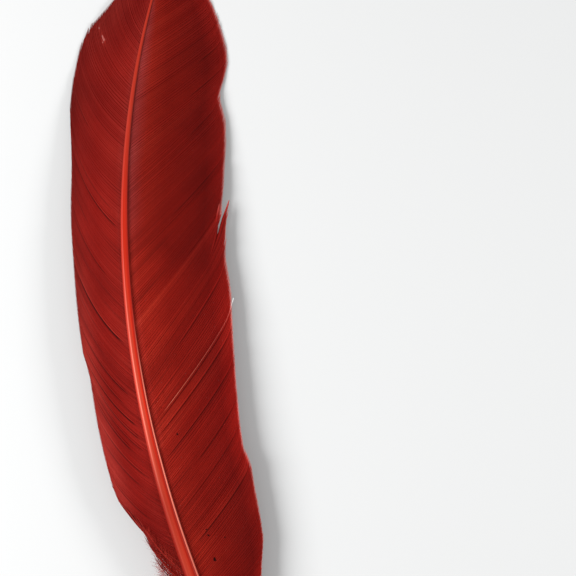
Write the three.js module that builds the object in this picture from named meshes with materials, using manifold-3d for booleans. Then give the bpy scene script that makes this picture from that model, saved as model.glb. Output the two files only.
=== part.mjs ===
// Turkey wing feather, grown as one piece: shaft, leading vane, trailing vane and the down at the foot of both.
// Millimetres, +Z up. It lies on its hollow side, quill end towards -Y, tip towards +Y, leading vane on -X.
import * as THREE from 'three';
import { mergeVertices } from 'three/addons/utils/BufferGeometryUtils.js';
import Module from 'manifold-3d';

const wasm = await Module();
wasm.setup();

const RED = 0x7d1a16;
const LEADING = -1;
const TRAILING = 1;

// Stations are millimetres along the shaft from the quill end.
const VANE_TIP = 304;
const SHAFT_END = 296;
const DOWN_START = 50;
const BEND_STEP = 2;

// Station, degrees the shaft leans to the leading side of a line from quill end to tip.
const BEND = [
  [0, 16.7], [42, 15.4], [84, 11.3], [120, 6.5], [150, 2.1], [185, -3.5], [220, -9.5], [262, -17.4], [304, -25.9],
];
// Station, height of the shaft's centre line over the table.
const ARCH = [
  [0, 1.3], [8, 2.5], [30, 5.3], [60, 8.6], [100, 11.6], [150, 12.6], [200, 11.2], [250, 7.4], [285, 3.2], [304, 1.2],
];
// Station, half width and half depth of the shaft.
const SHAFT_SIZE = [
  [0, 0.9, 1.3], [3, 1.5, 2.0], [8, 2.1, 2.5], [20, 2.6, 2.75], [45, 2.75, 2.8], [70, 2.7, 2.7], [86, 2.6, 2.5],
  [105, 2.35, 2.3], [125, 2.15, 2.1], [140, 1.9, 1.95], [160, 1.75, 1.75], [190, 1.5, 1.55], [210, 1.35, 1.4],
  [232, 1.1, 1.15], [255, 0.85, 0.9], [275, 0.6, 0.7], [296, 0.4, 0.45],
];
const SHAFT_SIDES = 12;
const QUILL_END_RINGS = [0, 1.2, 4];
const SHAFT_RINGS = 38;
// How square the shaft's section is: 2 is round, as at the quill end.
const SECTION_SQUARENESS = 2.6;
const QUILL_SQUARENESS = 2;
const QUILL_ROUND_UNTIL = 60;
const FLAT_UNTIL = 8;

// Station where a barb leaves the shaft, station where it reaches the margin, reach from the shaft there.
const LEADING_REACH = [
  [50, 53, 3.5], [56, 62, 6], [63, 72, 7.6], [70, 84, 8.8], [78, 96, 9.8], [84, 105.9, 11.2], [88, 111, 13.2],
  [92, 117, 16.2],
  [97, 123, 17.3], [112, 141, 17.5], [129, 160.3, 17.1], [137, 169, 18.2], [165, 199, 18.6], [180, 213, 19.1],
  [200, 232, 19.4], [212, 243, 20.7], [222, 251, 21.8], [232, 260, 22], [246, 271.5, 21.3], [254, 277.5, 19.4],
  [262, 283, 16.2], [272, 289.5, 12.7], [282, 297, 8.3], [290, 302.3, 3.6], [294, 304, -0.5],
];
const TRAILING_REACH = [
  [50, 52, 6], [54, 58, 13], [60, 67.5, 19.5], [67, 79, 24.2], [74, 90, 28.4], [83, 106, 30.6], [92, 117, 31.7],
  [98, 124, 30.9],
  [112, 141.7, 32.7], [128, 163, 34.8], [143, 184.5, 36.1], [152, 197, 35.2], [160, 205.1, 35.6], [170, 213, 34.2],
  [185, 227, 34.8], [205, 245, 34.5], [215, 253, 33.3], [222, 259.5, 30.9], [226, 263, 30.4], [232, 268.5, 31],
  [240, 275.5, 31], [248, 281.4, 29.3], [256, 286.5, 26.8], [264, 291.5, 24], [272, 296.5, 20.4],
  [280, 300.3, 16.4], [287, 302.8, 10.8], [294, 304, -0.5],
];
// How far along and out the bend of a barb lies, as shares of its run and reach.
const BARB_BEND = { [LEADING]: [0.353, 0.68], [TRAILING]: [0.54, 0.714] };
// Fall of a vane below its root at the stated reach.
const DROOP = { [LEADING]: [4.6, 20], [TRAILING]: [6.4, 35] };

const ROOT_INSET = -0.3;
const VANE_THICKNESS = 0.8;
const VANE_SEAT = 0.35;
const LAP_STEP = 0.3;
const TABLE_GAP = 0.05;
const TABLE_SOFTNESS = 0.6;

// Shares of a barb's length at which the locks are measured; the last stretch of each lock stands free.
const COLUMNS = [0, 0.1, 0.24, 0.4, 0.56, 0.72, 0.86, 0.95, 1];
const FREE_TIP = COLUMNS.length - 2;
const VANE_LOCKS = 32;
// Above 1 the locks grow narrower towards the tip.
const TIP_CROWDING = 1.15;
const TIP_NARROWING = 0.08;

// The down's locks, below the station where each vane closes up.
const DOWN_LOCKS = 7;
const DOWN_FREE_FROM = 2;
const DOWN_NARROWING = 0.3;
const DOWN_LIFT = 1.1;
const DOWN_END = { [LEADING]: 84, [TRAILING]: 69 };

// Openings between two locks: station at the shaft, column the opening starts at, then how far along and out
// the tips of the lock below it and of the lock above it are moved.
const OPENINGS = {
  [LEADING]: [{ root: 253, column: 6, below: [-0.6, 0.3], above: [0.9, 0] }],
  [TRAILING]: [{ root: 162, column: 6, below: [12, 1.4], above: [11, -1.6] }],
};

// Smooth value of one column of a table at a station.
function along(rows, station, column) {
  const last = rows.length - 1;
  const at = THREE.MathUtils.clamp(station, rows[0][0], rows[last][0]);
  let i = 0;
  while (i < last - 1 && rows[i + 1][0] < at) i += 1;
  const slope = (k) => {
    const before = rows[Math.max(k - 1, 0)];
    const after = rows[Math.min(k + 1, last)];
    return (after[column] - before[column]) / (after[0] - before[0]);
  };
  const run = rows[i + 1][0] - rows[i][0];
  const s = (at - rows[i][0]) / run;
  const rise = rows[i + 1][column] - rows[i][column];
  const a = slope(i) * run - rise;
  const b = rise - slope(i + 1) * run;
  return rows[i][column] + rise * s + s * (1 - s) * (a * (1 - s) + b * s);
}

// Plan of the shaft, walked along its bend in short steps.
function walkShaft() {
  const stops = [new THREE.Vector2(0, 0)];
  for (let station = 0; station < VANE_TIP; station += BEND_STEP) {
    const lean = THREE.MathUtils.degToRad(along(BEND, station + BEND_STEP / 2, 1));
    const step = new THREE.Vector2(-Math.sin(lean), Math.cos(lean)).multiplyScalar(BEND_STEP);
    stops.push(stops.at(-1).clone().add(step));
  }
  return stops;
}
const shaftStops = walkShaft();

// A place over the plan: distance along the shaft, distance to the trailing side of it, height.
function place(station, side, height) {
  const index = Math.min(Math.floor(station / BEND_STEP), shaftStops.length - 2);
  const lean = THREE.MathUtils.degToRad(along(BEND, station, 1));
  const spot = shaftStops[index].clone().lerp(shaftStops[index + 1], station / BEND_STEP - index);
  return new THREE.Vector3(spot.x + side * Math.cos(lean), spot.y + side * Math.sin(lean), height);
}

// Closed solid from a list of triangles.
function solidFrom(triangles) {
  const geometry = new THREE.BufferGeometry();
  const places = triangles.flat().flatMap((corner) => corner.toArray());
  geometry.setAttribute('position', new THREE.Float32BufferAttribute(places, 3));
  const joined = mergeVertices(geometry, 1e-4);
  const index = joined.index.array;
  const kept = [];
  for (let i = 0; i < index.length; i += 3) {
    const [a, b, c] = index.subarray(i, i + 3);
    if (a !== b && b !== c && c !== a) kept.push(a, b, c);
  }
  return new wasm.Manifold(new wasm.Mesh({
    numProp: 3,
    vertProperties: Float32Array.from(joined.attributes.position.array),
    triVerts: Uint32Array.from(kept),
  }));
}

function quad(a, b, c, d) {
  return [[a, b, c], [a, c, d]];
}

// One ring of the shaft's section. Its underside is level, so the quill end has a flat to rest on.
function shaftRing(station) {
  const [halfWidth, halfDepth] = [along(SHAFT_SIZE, station, 1), along(SHAFT_SIZE, station, 2)];
  const blend = THREE.MathUtils.smoothstep(station, 0, QUILL_ROUND_UNTIL);
  const squareness = THREE.MathUtils.lerp(QUILL_SQUARENESS, SECTION_SQUARENESS, blend);
  const ring = [];
  for (let k = 0; k < SHAFT_SIDES; k += 1) {
    const turn = ((k + 0.5) / SHAFT_SIDES) * 2 * Math.PI;
    const [across, up] = [Math.cos(turn), Math.sin(turn)]
      .map((part) => Math.sign(part) * Math.abs(part) ** (2 / squareness));
    ring.push(place(station, halfWidth * across, shaftHeight(station) + halfDepth * up));
  }
  if (station <= FLAT_UNTIL) {
    const low = Math.min(...ring.map((corner) => corner.z));
    ring.forEach((corner) => { corner.z -= low; });
  }
  return ring;
}

function shaftHeight(station) {
  return along(ARCH, station, 1);
}

function shaftSolid() {
  const rings = QUILL_END_RINGS.map(shaftRing);
  for (let i = 1; i <= SHAFT_RINGS; i += 1) {
    rings.push(shaftRing(SHAFT_END * (i / SHAFT_RINGS)));
  }
  const triangles = [];
  for (let i = 0; i < rings.length - 1; i += 1) {
    for (let k = 0; k < SHAFT_SIDES; k += 1) {
      const next = (k + 1) % SHAFT_SIDES;
      triangles.push(...quad(rings[i][k], rings[i + 1][k], rings[i + 1][next], rings[i][next]));
    }
  }
  const [foot, head] = [rings[0], rings.at(-1)];
  for (let k = 1; k < SHAFT_SIDES - 1; k += 1) {
    triangles.push([foot[0], foot[k], foot[k + 1]], [head[0], head[k + 1], head[k]]);
  }
  return solidFrom(triangles);
}

// Middle of the vane's thickness at a place, eased level where the vane lies on the table.
function vaneHeight(side, station, reach) {
  const [fall, over] = DROOP[side];
  const root = shaftHeight(station) + VANE_SEAT * along(SHAFT_SIZE, Math.min(station, SHAFT_END), 2);
  const clear = root - fall * (reach / over) ** 2 - VANE_THICKNESS / 2 - TABLE_GAP;
  return VANE_THICKNESS / 2 + TABLE_GAP + (clear + Math.hypot(clear, TABLE_SOFTNESS)) / 2;
}

// Station and reach a share of the way along the barb that leaves the shaft at `root`.
function barbSpot(side, root, share) {
  const rows = side === LEADING ? LEADING_REACH : TRAILING_REACH;
  const run = along(rows, root, 1) - root;
  const reach = along(rows, root, 2) - ROOT_INSET;
  const [bendRun, bendReach] = BARB_BEND[side];
  const bow = (bend) => 2 * share * (1 - share) * bend + share * share;
  return { station: root + run * bow(bendRun), reach: ROOT_INSET + reach * bow(bendReach) };
}

// The corners of one lock: low edge and high edge, top and underside, column by column.
function lockCorners(side, lock) {
  return COLUMNS.map((share, column) => {
    const low = barbSpot(side, lock.from, share);
    const high = barbSpot(side, lock.to, share);
    const corner = (spot, other, edge, lap) => {
      const free = Math.max(0, (column - edge.freeFrom) / (COLUMNS.length - 1 - edge.freeFrom));
      const [onward, outward] = edge.moved;
      const station = THREE.MathUtils.lerp(spot.station, other.station, lock.narrowing * free) + onward * free;
      const reach = THREE.MathUtils.lerp(spot.reach, other.reach, lock.narrowing * free) + outward * free;
      const middle = vaneHeight(side, station, Math.abs(reach)) + lock.lift * free;
      return {
        top: place(station, side * reach, middle + VANE_THICKNESS / 2 + lap),
        under: place(station, side * reach, middle - VANE_THICKNESS / 2),
      };
    };
    return { low: corner(low, high, lock.low, LAP_STEP), high: corner(high, low, lock.high, 0) };
  });
}

// Shares the stretch from the down to the tip out over the locks and marks where neighbours part.
function vaneLocks(side) {
  const roots = [];
  for (let i = 0; i <= DOWN_LOCKS; i += 1) {
    roots.push(THREE.MathUtils.lerp(DOWN_START, DOWN_END[side], i / DOWN_LOCKS));
  }
  const rows = side === LEADING ? LEADING_REACH : TRAILING_REACH;
  const lastRoot = rows.at(-1)[0];
  for (let i = 1; i <= VANE_LOCKS; i += 1) {
    roots.push(THREE.MathUtils.lerp(lastRoot, DOWN_END[side], (1 - i / VANE_LOCKS) ** TIP_CROWDING));
  }
  const openings = OPENINGS[side].map((opening) => {
    const miss = roots.map((root) => Math.abs(root - opening.root));
    return { ...opening, at: miss.indexOf(Math.min(...miss)) };
  });
  const parting = (i) => openings.find((opening) => opening.at === i)
    ?? { column: i < DOWN_LOCKS ? DOWN_FREE_FROM : FREE_TIP, below: [0, 0], above: [0, 0] };
  return roots.slice(0, -1).map((from, i) => ({
    from,
    to: roots[i + 1],
    narrowing: i < DOWN_LOCKS ? DOWN_NARROWING : TIP_NARROWING,
    lift: i < DOWN_LOCKS ? DOWN_LIFT * (i % 2) : 0,
    low: { freeFrom: parting(i).column, moved: parting(i).above },
    high: { freeFrom: parting(i + 1).column, moved: parting(i + 1).below },
  }));
}

function vaneSolid(side) {
  const triangles = [];
  const face = (...corners) => {
    const facing = side === TRAILING ? corners : corners.reverse();
    for (let k = 1; k < facing.length - 1; k += 1) triangles.push([facing[0], facing[k], facing[k + 1]]);
  };
  const locks = vaneLocks(side);
  const corners = locks.map((lock) => lockCorners(side, lock));
  const last = COLUMNS.length - 1;
  corners.forEach((lock, i) => {
    const above = corners[i + 1];
    const below = corners[i - 1];
    for (let j = 0; j < last; j += 1) {
      const [a, b] = [lock[j], lock[j + 1]];
      face(a.low.top, b.low.top, b.high.top, a.high.top);
      face(a.low.under, a.high.under, b.high.under, b.low.under);
      if (above && j < locks[i].high.freeFrom) {
        const [c, d] = [above[j], above[j + 1]];
        face(a.high.top, b.high.top, d.low.top, c.low.top);
      } else {
        face(a.high.top, b.high.top, b.high.under, a.high.under);
      }
      if (!below || j > locks[i].low.freeFrom) {
        face(a.low.top, a.low.under, b.low.under, b.low.top);
      } else if (j === locks[i].low.freeFrom) {
        face(below[j].high.top, a.low.under, b.low.under, b.low.top, a.low.top);
      }
    }
    const [root, tip] = [lock[0], lock[last]];
    const lap = below ? [below[0].high.top] : [];
    face(root.high.under, root.low.under, ...lap, root.low.top, root.high.top);
    face(tip.low.top, tip.low.under, tip.high.under, tip.high.top);
  });
  return solidFrom(triangles);
}

function featherGeometry() {
  const whole = shaftSolid().add(vaneSolid(LEADING)).add(vaneSolid(TRAILING));
  const mesh = whole.getMesh();
  const geometry = new THREE.BufferGeometry();
  geometry.setAttribute('position', new THREE.Float32BufferAttribute(mesh.vertProperties, 3));
  geometry.setIndex([...mesh.triVerts]);
  geometry.computeBoundingBox();
  const { min, max } = geometry.boundingBox;
  geometry.translate(-(min.x + max.x) / 2, -(min.y + max.y) / 2, -min.z);
  geometry.computeVertexNormals();
  return geometry;
}

const feather = new THREE.Mesh(
  featherGeometry(),
  new THREE.MeshStandardMaterial({ color: RED, roughness: 0.75, metalness: 0 }),
);
feather.name = 'feather';

const part = new THREE.Group();
part.name = 'turkey_wing_feather';
part.add(feather);

export default part;
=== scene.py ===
"""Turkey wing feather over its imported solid: shaft, two vanes of barbs, and the down at their foot."""

import math

import bpy
import numpy as np
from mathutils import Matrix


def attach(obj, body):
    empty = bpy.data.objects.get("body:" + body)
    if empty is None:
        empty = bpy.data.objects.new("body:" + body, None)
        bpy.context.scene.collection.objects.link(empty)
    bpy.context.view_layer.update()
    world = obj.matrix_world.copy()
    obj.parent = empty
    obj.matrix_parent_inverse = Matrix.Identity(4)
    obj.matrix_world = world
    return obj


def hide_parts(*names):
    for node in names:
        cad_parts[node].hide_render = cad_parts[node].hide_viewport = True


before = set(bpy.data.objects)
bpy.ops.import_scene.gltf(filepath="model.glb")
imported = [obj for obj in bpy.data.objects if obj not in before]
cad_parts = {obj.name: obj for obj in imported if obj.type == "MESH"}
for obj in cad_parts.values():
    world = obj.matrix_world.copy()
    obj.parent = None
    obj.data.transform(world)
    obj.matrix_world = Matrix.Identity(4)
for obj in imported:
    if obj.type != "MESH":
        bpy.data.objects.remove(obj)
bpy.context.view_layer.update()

MM = 0.001
LEADING, TRAILING = "leading", "trailing"
OUTWARD = {LEADING: -1, TRAILING: 1}

# Stations are millimetres along the shaft from the quill end, which lies here in the part's frame.
QUILL_END = (14.717, -147.985)
VANE_TIP = 304
SHAFT_END = 296
# The shaft's line is walked in steps, to a little past the tip.
WALK_STEP, WALK_SPARE = 0.5, 8

# Station, degrees the shaft leans to the leading side.
BEND = [(0, 16.7), (42, 15.4), (84, 11.3), (120, 6.5), (150, 2.1), (185, -3.5), (220, -9.5), (262, -17.4),
        (304, -25.9)]
# Station, height of the shaft's centre line.
ARCH = [(0, 1.3), (8, 2.5), (30, 5.3), (60, 8.6), (100, 11.6), (150, 12.6), (200, 11.2), (250, 7.4),
        (285, 3.2), (304, 1.2)]
# Station, half width and half depth of the shaft.
SHAFT_SIZE = [(0, 0.9, 1.3), (3, 1.5, 2.0), (8, 2.1, 2.5), (20, 2.6, 2.75), (45, 2.75, 2.8), (70, 2.7, 2.7),
              (86, 2.6, 2.5), (105, 2.35, 2.3), (125, 2.15, 2.1), (140, 1.9, 1.95), (160, 1.75, 1.75),
              (190, 1.5, 1.55), (210, 1.35, 1.4), (232, 1.1, 1.15), (255, 0.85, 0.9), (275, 0.6, 0.7),
              (296, 0.4, 0.45)]
# Station where a barb leaves the shaft, station where it reaches the margin, reach from the shaft there.
REACH = {
    LEADING: [(50, 53, 3.5), (56, 62, 6), (63, 72, 7.6), (70, 84, 8.8), (78, 96, 9.8), (84, 105.9, 11.2),
              (88, 111, 13.2), (92, 117, 16.2), (97, 123, 17.3), (112, 141, 17.5), (129, 160.3, 17.1),
              (137, 169, 18.2), (165, 199, 18.6), (180, 213, 19.1), (200, 232, 19.4), (212, 243, 20.7),
              (222, 251, 21.8), (232, 260, 22), (246, 271.5, 21.3), (254, 277.5, 19.4), (262, 283, 16.2),
              (272, 289.5, 12.7), (282, 297, 8.3), (290, 302.3, 3.6), (294, 304, 0.2)],
    TRAILING: [(50, 52, 6), (54, 58, 13), (60, 67.5, 19.5), (67, 79, 24.2), (74, 90, 28.4), (83, 106, 30.6),
               (92, 117, 31.7), (98, 124, 30.9), (112, 141.7, 32.7), (128, 163, 34.8), (143, 184.5, 36.1),
               (152, 197, 35.2), (160, 205.1, 35.6), (170, 213, 34.2), (185, 227, 34.8), (205, 245, 34.5),
               (215, 253, 33.3), (222, 259.5, 30.9), (226, 263, 30.4), (232, 268.5, 31), (240, 275.5, 31),
               (248, 281.4, 29.3), (256, 286.5, 26.8), (264, 291.5, 24), (272, 296.5, 20.4),
               (280, 300.3, 16.4), (287, 302.8, 10.8), (294, 304, 0.2)],
}
# How far along and out the bend of a barb lies, as shares of its run and reach.
BARB_BEND = {LEADING: (0.353, 0.68), TRAILING: (0.54, 0.714)}
# Fall of a vane below its root at the stated reach.
DROOP = {LEADING: (4.6, 20), TRAILING: (6.4, 35)}
# A vane's root above the shaft's centre line, as a share of its half depth; then the lowest height of a vane,
# and how softly it comes to lie there.
VANE_SEAT = 0.35
LOWEST_VANE = 0.3
TABLE_SOFTNESS = 0.6

# The vanes: where the closed barbs start and end, how close they stand at the shaft and along the margin, and
# how far a barb strays from its even place, as a share of its gap.
VANE_SEED = {LEADING: 3, TRAILING: 4}
VANE_START = {LEADING: 74, TRAILING: 56}
LAST_ROOT = 294
BARB_PITCH, MARGIN_PITCH = 0.62, 0.65
BARB_STRAY = 0.28
ROOT_SAMPLES = 2000
# A barb: points along it and how they crowd to its end, corners of its section, its crest and keel as shares
# of its half width, its half width as a share of its gap, and the narrowest and widest gap that counts.
BARB_POINTS, BARB_POINT_CROWDING = 17, 0.92
BARB_SIDES = 4
BARB_CREST, BARB_KEEL = 0.27, 0.2
BARB_OVERLAP = 0.64
NARROWEST_BARB, WIDEST_BARB = 0.14, 1.1
# A gap counts as at most this many times what it is seen from above, so that a raised lock doesn't widen it.
WIDEST_GAP = 1.3
# Radians: how far each barb is rolled to lap over the next, and the most that it rolls to follow the vane.
LAP_ROLL, MOST_ROLL = 0.13, 0.4
# A barb's end: how much narrower it grows and from which share, then how much less and later near the tip.
END_TAPER, TAPER_FROM = 0.8, 0.93
BLUNT_TAPER, BLUNT_FROM = 0.12, 0.03
# How deep the barbs' roots dip beside the shaft, how far out that fades, and the half depth of the shaft from
# which they dip in full.
ROOT_DIP, ROOT_DIP_OVER, DIP_THICKNESS = 0.4, 1.2, 1.5
# The vane swells in broad and small waves, each given by a seed and a spacing: their height, the small ones'
# share, and the shares of a barb over which they set in.
SWELL_HEIGHT = {LEADING: 0.16, TRAILING: 0.2}
BROAD_SWELL = {LEADING: (7, 4.5), TRAILING: (8, 4.5)}
SMALL_SWELL, SMALL_SHARE = (9, 2.2), 0.6
SWELL_FROM = (0.02, 0.4)

# Openings between barbs: root station, share of the barb where it starts, width of the moved lock,
# then how far on and out the tips below it and above it are moved.
OPENINGS = {
    LEADING: [(251.4, 0.86, 4.0, (-0.6, 0.3), (0.9, 0.0))],
    TRAILING: [(162.9, 0.73, 6.5, (12.0, 1.4), (10.0, -2.1))],
}
OPENING_EASE, OPENING_FADE = 1.6, 1.4
# Near the margin a barb's end sweeps on along it: share where that starts and how far on it goes, then the
# roots over which this sets in above the down and fades out towards the tip.
MARGIN_SWEEP = (0.87, 2.2)
SWEEP_RISE, SWEEP_FADE = (64, 84), (262, 288)
# Over this run above their start the barbs stand loose and frayed: how far their ends wander along, out and
# up, how much less of a gap they fill, and how much thinner they are.
FRAY_RUN = {LEADING: 26, TRAILING: 12}
FRAY_SPREAD = (2.6, 0.9, 0.7)
FRAY_NARROWER, FRAY_THINNER = 0.88, 0.35
# Locks that ride up over their neighbours: root station, share where it starts, how open the crack below it
# is, width of the lock.
RAISED = {
    LEADING: [(101, 0.3, 0.3, 4), (112, 0.3, 0.4, 4), (118, 0.15, 0.45, 3), (124, 0.3, 0.5, 4),
              (128, 0.1, 0.45, 3), (132, 0.1, 0.6, 4), (137, 0.1, 0.65, 4), (142, 0.25, 0.45, 3),
              (147, 0.15, 0.65, 4), (153, 0.45, 0.4, 4), (160, 0.5, 0.25, 4), (163, 0.6, 0.2, 3),
              (166.5, 0.1, 0.7, 5), (170.5, 0.7, 0.25, 3), (179, 0.5, 0.2, 4), (186, 0.25, 0.3, 5),
              (196, 0.55, 0.2, 4), (208, 0.05, 0.5, 5), (213, 0.1, 0.25, 4), (231, 0.5, 0.25, 4)],
    TRAILING: [(92, 0.1, 0.3, 4), (105, 0.05, 0.25, 5), (113, 0.3, 0.2, 4), (124, 0.05, 0.35, 4),
               (133, 0.02, 0.38, 4), (137, 0.02, 0.25, 3), (150, 0.3, 0.2, 5), (176, 0.5, 0.25, 5),
               (198, 0.35, 0.25, 5), (222, 0.55, 0.3, 4), (240, 0.5, 0.3, 4), (252, 0.6, 0.3, 4)],
}
# Height of a lock beside a crack that is open 1, and the shares over which the lock rises and over which a
# painted highlight on it grows.
LOCK_STEP, LOCK_EASE, LOCK_LIT_EASE = 0.5, 0.15, 0.2
# The crack, darkened as painted shadow: shares over which it opens, the share where it starts to close, and
# how dark it is: at least, by how open it is, and by that squared.
CRACK_EASE, CRACK_CLOSES = 0.12, 0.75
CRACK_DEPTH = (0.5, 0.3, 1.2)
# Fine cracks from the shaft out, at random, darkened as painted shadow: how open, with none below 0, and how
# far out they reach. Towards the tip they are less open.
PARTED, PARTED_REACH, PARTED_EASE = (-1.0, 0.5), (0.2, 0.6), 0.4
PARTED_CALM, PARTED_CALM_OVER = 0.7, (190, 230)
# How light each barb is: waves along the vane as seed, spacing and strength, then a share at random. Towards
# the tip the barbs are more even.
TONE_WAVES, TONE_STRAY = ((21, 3.1, 0.45), (22, 9.0, 0.35)), 0.4
TONE_CALM, TONE_CALM_OVER = 0.45, (175, 225)
BRIGHTEST, SCUFF_TONE = 1.2, 2.0
# One barb of the trailing vane has sprung loose, lies over the others and catches the light: its root, height
# and half width, how far it runs on past the margin, its taper, how light it is at its root and how much
# lighter further out, and the shares of it over which it rises and lightens.
LOOSE_BARB_ROOT, LOOSE_BARB_LIFT, LOOSE_BARB_WIDTH = 137.6, 0.6, 0.1
LOOSE_BARB_RUN_ON, LOOSE_BARB_TAPER = 0.6, 0.6
LOOSE_BARB_TONE, LOOSE_BARB_LIGHTER = 1.2, 0.87
LOOSE_BARB_RISE, LOOSE_BARB_LIT = (0.0, 0.2), (0.04, 0.25)

# Marks on the barbs: middle and radius of dark specks; then scuffed barbs of the leading vane that have lost
# their dye: root station, share where the scuff starts and where it ends, and its ease outside and inside.
DARK_SPECKS = [(1.84, -61.72, 0.75), (1.03, -53.03, 0.42), (0.66, -50.82, 0.36), (6.6, -54.6, 0.25),
               (-4.4, -16.1, 0.42)]
SCUFFS = [(259.1, 0.67, 0.74), (259.9, 0.69, 0.79), (260.7, 0.66, 0.76), (259.5, 0.84, 0.9)]
SCUFF_EASE = (0.03, 0.02)
# How the dye's depth shifts along each vane: share of the length, what the colour is multiplied by.
DYE_ALONG = {
    LEADING: [(0.29, (0.82, 0.74, 0.66, 1)), (0.38, (0.98, 0.9, 0.82, 1)), (0.46, (1.12, 1.05, 0.95, 1)),
              (0.6, (0.95, 0.88, 0.78, 1)), (0.9, (0.76, 0.68, 0.6, 1))],
    TRAILING: [(0.31, (0.9, 0.78, 0.7, 1)), (0.38, (1.06, 0.98, 0.92, 1)), (0.47, (1.12, 1.04, 1.0, 1)),
               (0.62, (1.0, 0.96, 0.92, 1)), (0.75, (0.9, 0.94, 0.94, 1)), (0.9, (0.88, 0.94, 0.94, 1))],
}
# How much of the painted sheen colour shows where the painted sheen is full.
SHEEN_SHARE = 0.75
# How close the barbules' ridges stand along a barb, and the height of all bumps in metres.
BARBULE_PITCH = 0.14
BUMP_HEIGHT = 0.0001
# Noises of the finishes: how many to a metre, and how many finer ones lie on each.
PATCH_NOISE, GROOVE_NOISE, CLUMP_NOISE = (42, 4), (75, 1), (380, 2)
RAGGED_NOISE, ROUGH_NOISE = (1600, 2), (2600, 2)

# How square the shaft's section is: 2 is round. Above, its trailing shoulder is fuller than its leading one.
UPPER_FULLNESS = (3.4, 2.25)
LOWER_FULLNESS = 2.8
SQUARED_OVER = (25, 90)
SHAFT_SIDES = 56
# Where the points of a ring lie, as shares of a turn.
RING_TURN = (np.arange(SHAFT_SIDES) + 0.5) / SHAFT_SIDES
# The groove under the shaft: where it sets in, its depth as a share of the half depth, its spread in radians.
GROOVE_OVER, GROOVE_DEPTH, GROOVE_SPREAD = (66, 90), 0.38, 0.42
# Lines along the shaft's upper face: place across it, half spread, height as a share of its half depth, then
# where they set in and fade out.
SHAFT_LINES = [(-0.45, 0.2, 0.05), (-0.05, 0.2, -0.04), (0.64, 0.05, -0.05), (0.82, 0.08, 0.07)]
LINES_RISE, LINES_FADE = (55, 85), (215, 250)
# Streaks in the horn: how many go round the shaft, and how many there are to a millimetre along it.
STREAKS_AROUND, STREAKS_ALONG = 60.0, 0.05
# Stations of the shaft's rings round the quill end, its first ones the rim of the pore, and how far apart the
# others stand.
QUILL_RINGS = [0.35, 0.08, 0, 0.1, 0.4, 0.9, 1.6, 2.5, 3.6, 5, 6.5, 8]
RING_PITCH = 2
# The last ring narrows the shaft to a blunt point: how far past its end, and its size.
POINT_RUN, POINT_SIZE = 1.5, 0.35
# The pore at the quill end: its rim's sizes from inside out, then its depth, size and height at the bottom.
PORE_RIM = (0.5, 0.62, 0.78, 0.9)
PORE_DEPTH, PORE_SIZE, PORE_HEIGHT = 3.0, 0.3, 2.3

# The down: roots of its barbs, how many there are, how far they crowd to the foot and stray at random.
DOWN_ROOTS = {LEADING: (49.5, 98), TRAILING: (49.5, 74)}
DOWN_BARBS = {LEADING: 165, TRAILING: 122}
DOWN_CROWDING, DOWN_STRAY = 1.35, 0.3
DOWN_SEED = {LEADING: 11, TRAILING: 12}
DOWN_POINTS = 16
# Length of a down barb beside a vane barb's, how much shorter the upper ones are, and over which last run.
DOWN_LENGTHS = (0.7, 1.15)
DOWN_SHORTER, DOWN_SHORTER_OVER = 0.45, (24, 6)
# Waves of a down barb: start and count in radians, swing; then how far its end drifts along the shaft.
DOWN_WAVES = ((0, 6.3), (4, 8), (0.3, 1.5))
DOWN_DRIFT = (-2.5, 1.5)
WAVE_OUT, WAVE_UP = 0.5, 0.4
# How far the layers of down spread, how far they hang below the vane above the lowest run, and how they bend.
DOWN_SAG, DOWN_HANG, LOW_RUN, SAG_BEND = 1.7, 0.8, 24, 1.2
LOWEST_DOWN = 0.35
DOWN_WIDTH, DOWN_TAPER = 0.11, 0.75
DOWN_SIDES = 5
# The barbules on the down: length, spacing, radius and range of sizes; then the bend of one, its steps, sides
# and taper.
BARBULE_LENGTH, BARBULE_SPACING, BARBULE_RADIUS = 2.3, 0.3, 0.034
BARBULE_SIZES = (0.55, 1.2)
BARBULE_SEED = {LEADING: 5, TRAILING: 6}
BARBULE_BEND = {"Start": (0, 0, 0), "Middle": (0, 0.05, 0.55), "End": (0, 0.3, 1.0)}
BARBULE_STEPS, BARBULE_SIDES, BARBULE_TAPER = 3, 3, 0.75
# Radians: how far a barbule leans from its barb, and how far it strays from straight sideways.
BARBULE_LEAN, BARBULE_STRAY = (0.7, 1.15), 0.6

# The photograph's view, straight down: its width in pixels, size of a pixel, middle, and turn of the picture.
PHOTO_WIDTH, PIXEL_SIZE = 576, 0.353
VIEW_WIDTH = PHOTO_WIDTH * PIXEL_SIZE * MM
VIEW_CENTRE = (41.77, 28.58)
VIEW_TURN = -8.725
VIEW_LENS, VIEW_SENSOR = 180, 36
VIEW_LEVEL = 6 * MM
CLIP_END = 20
FLOOR_HALF = 3.0
# Soft boxes: name, place, sizes, power. Then the even light of the studio.
SOFT_BOXES = [("soft box, left", (-0.72, 0.1, 0.6), (0.34, 0.6), 11),
              ("soft box, right", (0.8, -0.2, 0.5), (0.3, 0.3), 4)]
STUDIO_LIGHT = 0.42


def along(rows, station, column):
    """Smooth value of one column of a table at one station or many."""
    table = np.array(rows, float)
    at = np.clip(np.asarray(station, float), table[0, 0], table[-1, 0])
    slope = np.gradient(table[:, column], table[:, 0])
    slope[1:-1] = (table[2:, column] - table[:-2, column]) / (table[2:, 0] - table[:-2, 0])
    i = np.clip(np.searchsorted(table[:, 0], at) - 1, 0, len(table) - 2)
    run = table[i + 1, 0] - table[i, 0]
    rise = table[i + 1, column] - table[i, column]
    s = (at - table[i, 0]) / run
    a = slope[i] * run - rise
    b = rise - slope[i + 1] * run
    return table[i, column] + rise * s + s * (1 - s) * (a * (1 - s) + b * s)


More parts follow.
